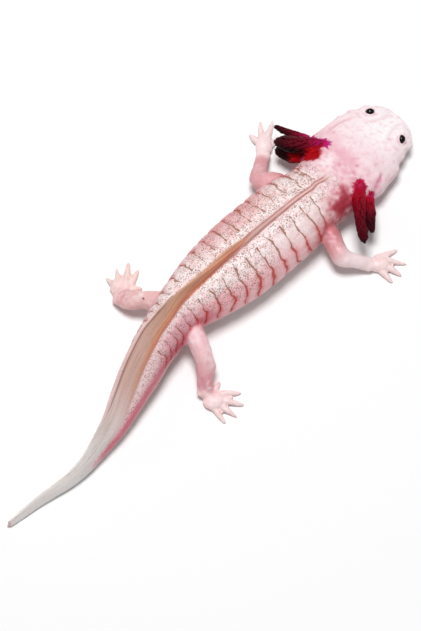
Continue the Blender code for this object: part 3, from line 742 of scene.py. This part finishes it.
# ---- skin material ----
# Soft vinyl under satin paint: a fine pitted grain all over, brown ink settled in the pits of the
# back and in the grooves, and streaks drawn along the tail fin.
class Wiring:
    """Adds nodes to a material or a node group."""

    def __init__(self, tree):
        self.tree = tree

    def node(self, kind, inputs=None, **settings):
        node = self.tree.nodes.new("ShaderNode" + kind)
        for name, value in settings.items():
            setattr(node, name, value)
        self.fill(node, inputs or {})
        return node

    def fill(self, node, inputs):
        """Links a node's inputs to what feeds them, and sets those that are the same all over."""
        for socket, value in inputs.items():
            if isinstance(value, bpy.types.NodeSocket):
                self.tree.links.new(value, node.inputs[socket])
            else:
                node.inputs[socket].default_value = value

    def math(self, operation, *values):
        return self.node("Math", dict(enumerate(values)), operation=operation).outputs[0]

    def times(self, first, second):
        return self.math("MULTIPLY", first, second)

    def plus(self, value, scale, start):
        """A value times a scale, from a start."""
        return self.math("MULTIPLY_ADD", value, scale, start)

    def ramp(self, value, low, high, start=0.0, end=1.0):
        """Turns a run of values into another, smoothly and within its ends."""
        return self.node("MapRange", {0: value, 1: low, 2: high, 3: start, 4: end},
                         interpolation_type="SMOOTHSTEP").outputs[0]

    def mix(self, share, first, second, blend="MIX"):
        return self.node("Mix", {0: share, 6: first, 7: second}, data_type="RGBA",
                         blend_type=blend).outputs[2]

    def place(self):
        return self.node("TexCoord").outputs["Object"]

    def kept(self, name, output="Fac"):
        """What is stored under a name on the piece's points."""
        return self.node("Attribute", attribute_name=name).outputs[output]

    def noise(self, place, scale, detail=2.0, roughness=0.5, output="Fac"):
        return self.node("TexNoise", {"Vector": place, "Scale": scale, "Detail": detail,
                                      "Roughness": roughness}).outputs[output]

    def relief(self, height, strength, depth):
        """A bumpy surface, from its heights."""
        return self.node("Bump", {"Strength": strength, "Distance": depth, "Height": height}).outputs[0]

    def brushed(self, place, scale, glossy, dull):
        """Clouds of brushed paint, and how rough they leave the surface."""
        inputs = {"Place": place, "Scale": scale, "Glossy": glossy, "Dull": dull}
        return self.node("Group", node_tree=paint_group, inputs=inputs).outputs


def rgba(*tint):
    return (*linear(tint), 1)


# Hand-brushed paint, shared by skin, gills and eyes: it lies in faint clouds, which are a little
# duller where it lies thicker.
paint_group = bpy.data.node_groups.new("brushed paint", "ShaderNodeTree")
for name, kind in (("Place", "Vector"), ("Scale", "Float"), ("Glossy", "Float"), ("Dull", "Float")):
    paint_group.interface.new_socket(name, in_out="INPUT", socket_type="NodeSocket" + kind)
for name in ("Cloud", "Roughness"):
    paint_group.interface.new_socket(name, in_out="OUTPUT", socket_type="NodeSocketFloat")
w = Wiring(paint_group)
given = paint_group.nodes.new("NodeGroupInput").outputs
cloud = w.noise(given["Place"], given["Scale"], 3)
rough = w.ramp(cloud, 0.3, 0.7, given["Glossy"], given["Dull"])
w.fill(paint_group.nodes.new("NodeGroupOutput"), {"Cloud": cloud, "Roughness": rough})


def start_material(name):
    """A new material, its wiring and its shader."""
    material = bpy.data.materials.new(name)
    material.use_nodes = True
    return material, Wiring(material.node_tree), material.node_tree.nodes["Principled BSDF"]


def skin_material():
    material, w, shader = start_material("painted vinyl skin")
    place = w.place()
    fin, gill, speckled, grooved, low = [w.kept(name) for name in (
        "fin", "gill", "speckled", "grooved", "low_down")]
    clouded, rough = w.brushed(place, 300, 0.36, 0.5)
    fine = w.noise(place, 1500, 3, 0.6)

    # pits with brown ink in them
    bent = w.node("VectorMath", {0: w.noise(place, 1300, output="Color"), 1: (0.0005,) * 3, 2: place},
                  operation="MULTIPLY_ADD").outputs[0]
    cell = w.node("TexVoronoi", {"Vector": bent, "Scale": 1520, "Randomness": 0.8}).outputs[0]
    inked = w.ramp(w.noise(place, 420), 0.3, 0.56)
    on_tail = w.kept("on_tail")
    reach = w.plus(on_tail, -0.03, w.plus(inked, 0.08, 0.33))
    pit = w.ramp(w.math("DIVIDE", cell, reach), 1.25, 0.75)
    pit_ink = w.times(w.times(pit, speckled), w.plus(inked, 0.6, 0.4))

    # costal grooves
    number = w.math("ADD", w.kept("groove_number"), w.plus(w.noise(place, 550, 3), 0.16, -0.08))
    gap = w.math("PINGPONG", number, 0.5)
    broken = w.plus(w.ramp(w.noise(place, 330, 3), 0.36, 0.66), 0.055, w.plus(low, 0.03, 0.018))
    line = w.times(w.ramp(w.math("DIVIDE", gap, broken), 1.25, 0.7), w.ramp(grooved, 0.25, 0.6))
    halo = w.times(w.ramp(gap, 0.36, 0.03), w.times(grooved, low))

    # streaks along the fin
    drawn = w.node("Mapping", {"Vector": w.kept("lay", "Vector"), "Scale": (0.05, 1.1, 0.25)})
    streak = w.noise(drawn.outputs[0], 1.6, 4, 0.6)
    band_edge = w.math("ADD", w.kept("band"), w.plus(streak, 0.5, -0.25))
    band = w.times(w.ramp(band_edge, 0.0, 0.14), w.kept("band_fade"))
    warm = w.kept("band_warm")
    band_tint = w.mix(w.ramp(streak, 0.35, 0.65),
                      w.mix(warm, rgba(188, 134, 106), rgba(184, 98, 66)),
                      w.mix(warm, rgba(220, 168, 140), rgba(216, 128, 94)))

    colour = w.kept("paint", "Color")
    for mask, strength, tint in (
            (w.times(w.ramp(streak, 0.4, 0.7), fin), 0.28, rgba(150, 112, 104)),
            (halo, 0.62, rgba(226, 112, 116)),
            (band, 0.85, band_tint),
            (w.ramp(w.kept("fin_line"), 0.25, 0.8), 0.6, rgba(122, 78, 62)),
            (pit_ink, 0.72, w.mix(on_tail, rgba(122, 80, 70), rgba(156, 90, 102))),
            (line, 0.85, w.kept("groove_ink", "Color"))):
        colour = w.mix(w.times(mask, strength), colour, tint)
    grain = w.ramp(fine, 0.3, 0.7, 0.93, 1.03)
    rough = w.plus(w.math("MAXIMUM", pit_ink, line), 0.2, rough)

    height = w.plus(fine, 0.16, w.times(clouded, 0.3))
    height = w.plus(pit, w.plus(speckled, -0.5, -0.06), height)
    height = w.plus(line, -0.8, height)
    height = w.plus(w.times(streak, fin), 0.8, height)
    w.fill(shader, {"Base Color": w.mix(1.0, colour, grain, "MULTIPLY"),
                    "Roughness": w.math("MAXIMUM", rough, w.times(gill, 0.9)),
                    "IOR": 1.42,
                    "Subsurface Weight": 0.12,
                    "Subsurface Radius": (0.0022, 0.0009, 0.0007),
                    "Subsurface Scale": 1.0,
                    "Normal": w.relief(height, 0.55, 0.00022)})
    return material


skin_mesh.shade_smooth()
skin_mesh.materials.clear()
skin_mesh.materials.append(skin_material())
cast = put_in_scene("skin", skin_mesh)
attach(cast, "root")
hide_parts(*[name for name in CAST_NODES if not name.startswith("eye_")])

# ---- eyes ----
# Both eyes are plain black glossy beads, each moulded by itself and set under its lids. A low dome
# of each shows in its almond opening.
black, w, shader = start_material("black eye")
cloud, rough = w.brushed(w.place(), 900, 0.16, 0.24)
w.fill(shader, {"Base Color": w.mix(w.ramp(cloud, 0.35, 0.7), rgba(7, 5, 7), rgba(20, 13, 16)),
                "Roughness": rough,
                "Specular IOR Level": 0.3})
for name, centre in EYES.items():
    bm = bmesh.new()
    bmesh.ops.create_uvsphere(bm, u_segments=40, v_segments=24, radius=EYE_RADIUS / 1000,
                              matrix=Matrix.Translation(centre / 1000))
    mesh = as_mesh(bm, "eyeball_" + name)
    mesh.shade_smooth()
    mesh.materials.append(black)
    eyeball = put_in_scene("eyeball_" + name, mesh)
    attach(eyeball, "root")
    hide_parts("eye_" + name)

# ---- gill filaments ----
# Each gill stalk is wrapped in plump filaments, moulded as overlapping lobes that hang from its
# upper side and lie towards its tip. At the root, thin bright barbs spread over the head's skin.
STALK_STEPS = 9  # places where a stalk's thickness is measured
ROWS = 34  # rows of filaments along a stalk
ROUND = 12  # filaments in a row
BARBS = 15  # barbs at the root of a stalk
FAN_BARBS = {"left": 70, "right": 0}  # red filaments that lie in a fan behind the gills
FAN_ROOT = Vector((13.4, -76.6, 17.4))
FAN_WAY = Vector((-0.25, -1, 0.35))
FAN_SPREAD = 1.3  # how far a barb of the fan starts from its root
BARB_LENGTH, FAN_LENGTH = 3.4, 5.8
FILAMENT_SIDES = 6
FILAMENT_SHAPE = [(0.0, 0.75), (0.3, 1.0), (0.65, 0.85), (1.0, 0.2)]
MARKS = ("share", "reach", "shade", "lowest")  # what the paint needs to know of a filament
FLATNESS = 0.75  # a filament's thickness for its width
CLEAR = 0.12  # how far a filament's middle keeps above the skin
HANG = 0.75  # how far a filament turns round its stalk, beside 1 along it
DEEPER = {"gill_right_middle": 1.5}  # how much sooner a stalk's paint darkens, where it does
# The side of each gill group whose filaments are painted in shade, nearly black.
SHADE_SIDE = {"left": Vector((-0.5, 0.75, -0.4)), "right": Vector((0, 0.6, -0.8))}

skin_shape = bmesh.new()
skin_shape.from_mesh(skin_mesh)
skin_shape.transform(Matrix.Scale(1000, 4))
skin_tree = BVHTree.FromBMesh(skin_shape)
skin_shape.free()


def stalk_line(name):
    """Middles and half thicknesses of a stalk, from its root to its tip."""
    points, root, way, _ = stalk_axis(name)
    reach = (points - root) @ way
    middles, halves = [], []
    for stop in np.linspace(0, reach.max(), STALK_STEPS):
        ring = points[abs(reach - stop) < 0.09 * reach.max()]
        middles.append((ring.max(0) + ring.min(0)) / 2)
        halves.append(np.linalg.norm(np.cross(ring - middles[-1], way), axis=1).mean())
    return np.array(middles), np.array(halves)


def along_line(values, share):
    """A value between the stops of a line, at a share of its length."""
    place = share * (len(values) - 1)
    low = min(int(place), len(values) - 2)
    return values[low] + (values[low + 1] - values[low]) * (place - low)


# A lobe before it is bent is a closed drum, 1 long on Z and 1 in radius, with a ring of points at
# each length where the filament's thickness is given.
bm = bmesh.new()
bmesh.ops.create_cone(bm, cap_ends=True, segments=FILAMENT_SIDES, radius1=1, radius2=1, depth=1,
                      matrix=Matrix.Translation((0, 0, 0.5)))
for reach, _ in FILAMENT_SHAPE[1:-1]:
    bmesh.ops.bisect_plane(bm, geom=bm.verts[:] + bm.edges[:] + bm.faces[:],
                           plane_co=(0, 0, reach), plane_no=(0, 0, 1))
lobe = as_mesh(bm, "lobe")
lobe.shade_smooth()
lobe_rings = [min(range(len(FILAMENT_SHAPE)), key=lambda k: abs(FILAMENT_SHAPE[k][0] - vert.co.z))
              for vert in lobe.vertices]


def add_filament(bm, middles, outwards, thick, patch, **marks):
    """One lobe, bent along its middles and thinned towards its tip."""
    level = (middles[-1] - middles[0]).cross(outwards).normalized()
    first = len(bm.verts)
    bm.from_mesh(lobe)
    bm.verts.ensure_lookup_table()
    stored, uv = bm.verts.layers.float, bm.loops.layers.uv["OFBake"]
    for vert, ring in zip(bm.verts[first:], lobe_rings):
        across, above, reach = vert.co
        swell = thick * FILAMENT_SHAPE[ring][1]
        vert.co = (middles[ring] + level * (swell * across)
                   + outwards * (FLATNESS * swell * above)) / 1000
        for name in MARKS:
            vert[stored[name]] = marks.get(name, 0)
        vert[stored["reach"]] = reach
        vert[stored["share"]] += 0.06 * reach
        for corner in vert.link_loops:
            corner[uv].uv = (patch[0] + 0.003 * reach, patch[1])


def hanging_filament(rng, root, way, outwards, half, share):
    """Middles of a filament that bends round its stalk as it hangs."""
    down = Vector((0, 0, -1))
    down -= outwards * down.dot(outwards)
    stray = way.cross(outwards) * rng.uniform(-0.35, 0.35)
    lie = (way + down * HANG + stray).normalized()
    round_it = (lie - way * lie.dot(way)).length
    tip = float(ease((share - 0.72) / 0.2))
    length = rng.uniform(2.4, 3.6) * (1 - 0.35 * share) * (1 - 0.3 * tip)
    splay = (rng.uniform(0.0, 0.08) + (1 - float(ease(share / 0.22))) * rng.uniform(0.0, 0.25)
             - 0.45 * tip)
    bow = (round_it * length) ** 2 / (2 * half)
    middles = []
    for reach, _ in FILAMENT_SHAPE:
        middle = (root + lie * (length * reach) - outwards * (bow * reach ** 2)
                  + outwards * (length * (splay * reach ** 2 + 0.08 * math.sin(math.pi * reach))))
        found, normal, _, _ = skin_tree.find_nearest(middle)
        middles.append(middle + normal * max(CLEAR - (middle - found).dot(normal), 0))
    return middles


def lying_barb(rng, root, way, longest=BARB_LENGTH):
    """Middles of a thin barb that lies on the skin, away from the stalk."""
    _, facing, _, _ = skin_tree.find_nearest(root)
    ahead = (-way - facing * -way.dot(facing)).normalized()
    lie = Matrix.Rotation(rng.uniform(-1.25, 1.25), 3, facing) @ ahead
    length = rng.uniform(0.47, 1) * longest
    middles = []
    for reach, _ in FILAMENT_SHAPE:
        found, normal, _, _ = skin_tree.find_nearest(root + lie * (length * reach + 1.2))
        middles.append(found + normal * (0.22 - 0.16 * reach))
    return middles, facing


def build_fringe(side_name, stalks, seed):
    """All filaments of one side's gills, as one piece."""
    rng = np.random.default_rng(seed)
    bm = bmesh.new()
    for name in MARKS:
        bm.verts.layers.float.new(name)
    bm.loops.layers.uv.new("OFBake")
    for number, name in enumerate(stalks):
        middles, halves = stalk_line(name)
        lowest = float(name.endswith("lower"))
        for row in range(ROWS):
            share = (row + 0.5) / ROWS * 0.93
            middle, half = Vector(along_line(middles, share)), along_line(halves, share)
            ahead = along_line(middles, share + 0.08) - along_line(middles, max(share - 0.08, 0))
            way = Vector(ahead).normalized()
            aside = way.cross(Vector((0, 0, 1))).normalized()
            above = aside.cross(way).normalized()
            for k in range(ROUND):
                angle = 2 * math.pi * (k + 0.5 * (row % 2)) / ROUND + rng.uniform(-0.2, 0.2)
                outwards = aside * math.cos(angle) + above * math.sin(angle)
                root = middle + outwards * (half * 0.84)
                shape = hanging_filament(rng, root, way, outwards, half, share)
                add_filament(bm, shape, outwards, half * rng.uniform(0.17, 0.24),
                             ((number + angle / 7) / 3, share * 0.98), lowest=lowest,
                             share=share * DEEPER.get(name, 1),
                             shade=max(outwards.dot(SHADE_SIDE[side_name]), 0))
        way = Vector(middles[2] - middles[0]).normalized()
        for barb in range(BARBS):
            shape, facing = lying_barb(rng, Vector(middles[0]), way)
            add_filament(bm, shape, facing, rng.uniform(0.22, 0.36),
                         ((number + barb / BARBS) / 3, 0.99), share=-0.2, lowest=lowest)
    for barb in range(FAN_BARBS[side_name]):
        root = FAN_ROOT + Vector(rng.uniform(-1, 1, 3)) * FAN_SPREAD
        shape, facing = lying_barb(rng, root, FAN_WAY, FAN_LENGTH)
        add_filament(bm, shape, facing, rng.uniform(0.26, 0.42),
                     (barb / FAN_BARBS[side_name], 1.0), share=0.1, shade=1)
    bmesh.ops.recalc_face_normals(bm, faces=bm.faces)
    name = "gill_filaments_" + side_name
    piece = put_in_scene(name, as_mesh(bm, name))
    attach(piece, "root")
    return piece


def gill_material(side_name, tints):
    """Deep paint, magenta at the root and nearly black towards the tips, with painted shade that
    darkens the lower side nearly to black.
    """
    material, w, shader = start_material("painted gill " + side_name)
    place = w.place()
    reach, lowest, shade = [w.kept(name) for name in ("reach", "lowest", "shade")]
    mottle, rough = w.brushed(place, 420, 0.34, 0.55)
    run = w.math("ADD", w.kept("share"), w.plus(mottle, 0.3, -0.15))
    blend = w.node("ValToRGB", {"Fac": run})
    stops = blend.color_ramp.elements
    while len(stops) < len(tints):
        stops.new(0.5)
    for stop, (position, tint) in zip(stops, tints):
        stop.position = position
        stop.color = rgba(*tint)
    # Painted shade: filaments that face the shaded side, and those of the lowest stalk, are darkened
    # nearly to black. Near the root, that side is painted red.
    shaded = w.ramp(w.plus(lowest, 0.3, shade), 0.0, 0.6)
    colour = blend.outputs["Color"]
    # Painted shade: each filament is darkened near its base, in the gaps between the filaments.
    for mask, tint in (
            (w.ramp(reach, 0.5, 1.0, 0.0, 0.5), rgba(60, 3, 18)),
            (w.ramp(reach, 0.45, 0.1, 0.0, 0.25), rgba(30, 2, 8)),
            (w.times(lowest, w.ramp(run, 0.5, 0.3)), rgba(178, 10, 16)),
            (w.times(w.ramp(shade, 0.1, 0.5), w.ramp(run, 0.46, 0.3)), rgba(172, 9, 18)),
            (w.times(w.times(shaded, w.ramp(run, 0.26, 0.46)), 0.88), rgba(14, 2, 4))):
        colour = w.mix(mask, colour, tint)
    w.fill(shader, {"Base Color": colour,
                    "Roughness": rough,
                    "Specular IOR Level": 0.08,
                    "Normal": w.relief(w.noise(place, 1700, 3), 0.5, 0.0002)})
    return material


GILL_TINTS = {
    "left": [(0.0, (206, 30, 132)), (0.1, (168, 10, 76)), (0.28, (116, 5, 32)), (0.7, (70, 5, 16)),
             (1.0, (44, 4, 12))],
    "right": [(0.0, (200, 8, 58)), (0.2, (154, 3, 28)), (0.5, (116, 3, 28)), (0.8, (80, 3, 17)),
              (1.0, (56, 5, 16))]}
for seed, (side_name, tints) in enumerate(GILL_TINTS.items()):
    fringe = build_fringe(side_name, named("gill_" + side_name), seed)
    fringe.data.materials.append(gill_material(side_name, tints))

# ---- floor, light and camera ----
# The figure stands on a plain white floor under soft studio light: a large lamp high on its left
# side, which lays a soft shadow on its right, and even light from all round.
STAGE_SIZE = 6.0
LAMP_PLACE = Vector((0.14, -0.06, 1.38))
LAMP_SIZE = 0.5
LAMP_WATTS = 16.5
EVEN_LIGHT = 0.25
CAMERA_DISTANCE = 0.85
CAMERA_AIM = Vector((-0.0042, 0.0017, 0.010))
CAMERA_BACK = Vector((-0.252, 0.255, 0.934)).normalized()  # from the figure to the camera
CAMERA_LENS = 123.1
CAMERA_SENSOR = 36


def look_along(direction):
    """The turn of a lamp or camera that faces along a direction."""
    return direction.to_track_quat("-Z", "Y").to_euler()


bm = bmesh.new()
bmesh.ops.create_grid(bm, x_segments=1, y_segments=1, size=STAGE_SIZE / 2)
floor = put_in_scene("floor", as_mesh(bm, "floor"))
white, w, shader = start_material("white floor")
w.fill(shader, {"Base Color": (0.93, 0.93, 0.93, 1), "Roughness": 0.9})
floor.data.materials.append(white)

lamp = put_in_scene("key_lamp", bpy.data.lights.new("key_lamp", "AREA"))
lamp.data.shape = "DISK"
lamp.data.size = LAMP_SIZE
lamp.data.energy = LAMP_WATTS
lamp.location = LAMP_PLACE
lamp.rotation_euler = look_along(-LAMP_PLACE)

camera = put_in_scene("camera", bpy.data.cameras.new("camera"))
camera.data.lens = CAMERA_LENS
camera.data.sensor_width = CAMERA_SENSOR
camera.data.clip_start = 0.01
camera.location = CAMERA_AIM + CAMERA_BACK * CAMERA_DISTANCE
camera.rotation_euler = look_along(-CAMERA_BACK)
bpy.context.scene.camera = camera

world = bpy.data.worlds.new("studio")
world.use_nodes = True
Wiring(world.node_tree).fill(world.node_tree.nodes["Background"],
                             {"Color": (1, 1, 1, 1), "Strength": EVEN_LIGHT})
bpy.context.scene.world = world
bpy.context.scene.view_settings.view_transform = "Standard"
